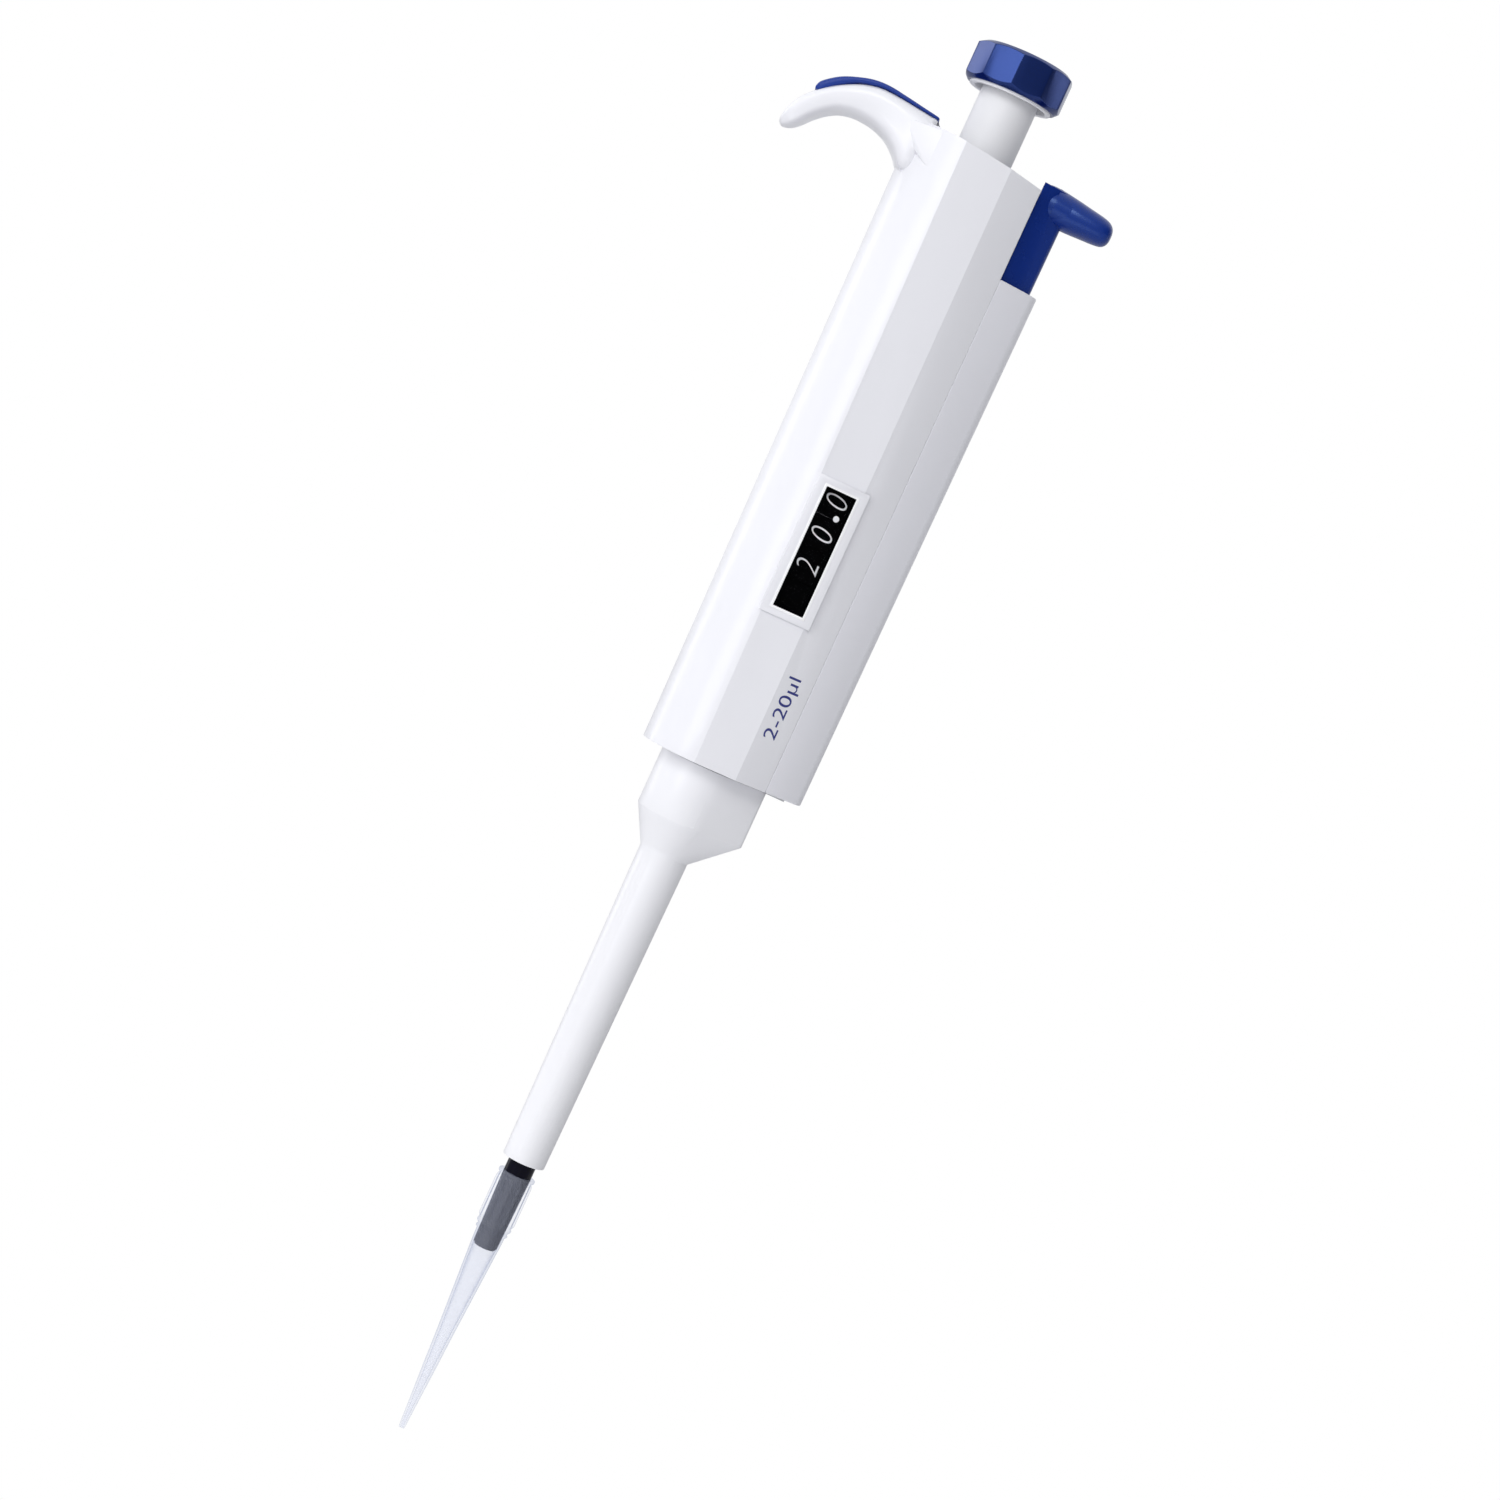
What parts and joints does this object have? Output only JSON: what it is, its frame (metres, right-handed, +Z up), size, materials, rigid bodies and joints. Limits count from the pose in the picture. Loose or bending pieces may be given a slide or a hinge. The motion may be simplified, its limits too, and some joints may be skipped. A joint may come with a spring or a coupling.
{
  "type": "adjustable micropipette",
  "caption": "Hand-held air-displacement pipette with a faceted plunger knob, side tip ejector, hooked grip, volume display and a clear disposable tip.",
  "frame": {"origin": "on the plunger axis, in the plane of the handle's lower face", "axes": "+Z up the plunger axis towards the knob; +X towards the tip ejector; -Y towards the volume display; the finger hook points to -X"},
  "size_m": [0.0606, 0.0254, 0.2626],
  "materials": {
    "white_shell": "satin moulded polypropylene, very slightly blue-white",
    "strip_white": "satin moulded polypropylene",
    "sleeve_white": "satin moulded polypropylene",
    "grey_sleeve": "light grey satin plastic",
    "knob_blue": "royal blue glossy plastic",
    "ejector_blue": "dark blue satin plastic",
    "pad_blue": "dark blue soft-touch insert",
    "rim_white": "white plastic ring",
    "nozzle_black": "black glossy polymer",
    "lens_clear": "clear polycarbonate",
    "tip_clear": "clear polypropylene, slightly milky",
    "drum_black": "matt black moulded plastic",
    "inner_plastic": "natural grey engineering plastic",
    "steel": "drawn stainless steel",
    "brass": "turned brass",
    "rubber_black": "nitrile rubber",
    "ptfe_white": "turned PTFE"
  },
  "bodies": {
    "handle": {"handle_body": "white_shell", "channel_cover": "strip_white", "hook_pad": "pad_blue", "window_bezel": "white_shell", "window_lens": "lens_clear", "top_bush": "inner_plastic", "screw_nut": "brass", "brake_ring": "rubber_black", "drum_retainer": "inner_plastic", "counter_frame": "inner_plastic", "blank_drum": "drum_black", "spring_seat": "steel", "blowout_spring": "steel", "return_spring": "steel", "piston_seal": "ptfe_white", "seal_ring": "rubber_black", "seal_retainer": "inner_plastic", "nozzle": "nozzle_black", "coupling_nut": "inner_plastic", "ejector_spring": "steel"},
    "stop_slider": {"stop_ring": "brass"},
    "volume_screw": {"volume_screw": "steel", "stop_clips": "steel"},
    "plunger": {"knob": "knob_blue", "knob_rim": "rim_white", "plunger_sleeve": "grey_sleeve", "plunger_rod": "steel", "rod_collar": "steel", "piston_head": "inner_plastic", "piston": "steel"},
    "tenths_drum": {"tenths_drum": "drum_black"},
    "units_drum": {"units_drum": "drum_black"},
    "tens_drum": {"tens_drum": "drum_black"},
    "ejector": {"ejector_button": "ejector_blue", "ejector_rod": "steel", "ejector_sleeve": "sleeve_white"},
    "tip": {"pipette_tip": "tip_clear"}
  },
  "joints": [
    {"name": "volume_travel", "type": "slide", "parent": "handle", "child": "stop_slider", "axis": [0, 0, 1], "range_m": [-0.0045, 0]},
    {"name": "knob_turn", "type": "hinge", "parent": "stop_slider", "child": "volume_screw", "pos_m": [0, 0, 0.07], "axis": [0, 0, 1], "range_deg": [-1296, 0]},
    {"name": "plunger_press", "type": "slide", "parent": "volume_screw", "child": "plunger", "axis": [0, 0, 1], "range_m": [-0.0059, 0], "stiffness_N_per_m": 800, "springref_m": 0.004, "deforming": ["return_spring", "blowout_spring"]},
    {"name": "tenths_turn", "type": "hinge", "parent": "handle", "child": "tenths_drum", "pos_m": [0, 0, 0.04], "axis": [0, 0, 1], "range_deg": [-1296, 0]},
    {"name": "units_turn", "type": "hinge", "parent": "handle", "child": "units_drum", "pos_m": [0, 0, 0.04], "axis": [0, 0, 1], "range_deg": [-648, 0]},
    {"name": "tens_turn", "type": "hinge", "parent": "handle", "child": "tens_drum", "pos_m": [0, 0, 0.04], "axis": [0, 0, 1], "range_deg": [-64.8, 0]},
    {"name": "ejector_press", "type": "slide", "parent": "handle", "child": "ejector", "axis": [0, 0, -1], "range_m": [0, 0.008], "stiffness_N_per_m": 400, "springref_m": -0.004, "deforming": ["ejector_spring"]},
    {"name": "tip_release", "type": "slide", "parent": "handle", "child": "tip", "axis": [0, 0, -1], "range_m": [0, 0.0054]}
  ],
  "couplings": [
    {"joint": "knob_turn", "follows": "volume_travel", "rad_per_m": 5026.5},
    {"joint": "tenths_turn", "follows": "volume_travel", "rad_per_m": 5026.5},
    {"joint": "units_turn", "follows": "volume_travel", "rad_per_m": 2513.3},
    {"joint": "tens_turn", "follows": "volume_travel", "rad_per_m": 251.33},
    {"joint": "tip_release", "follows": "ejector_press", "ratio": 0.675}
  ]
}
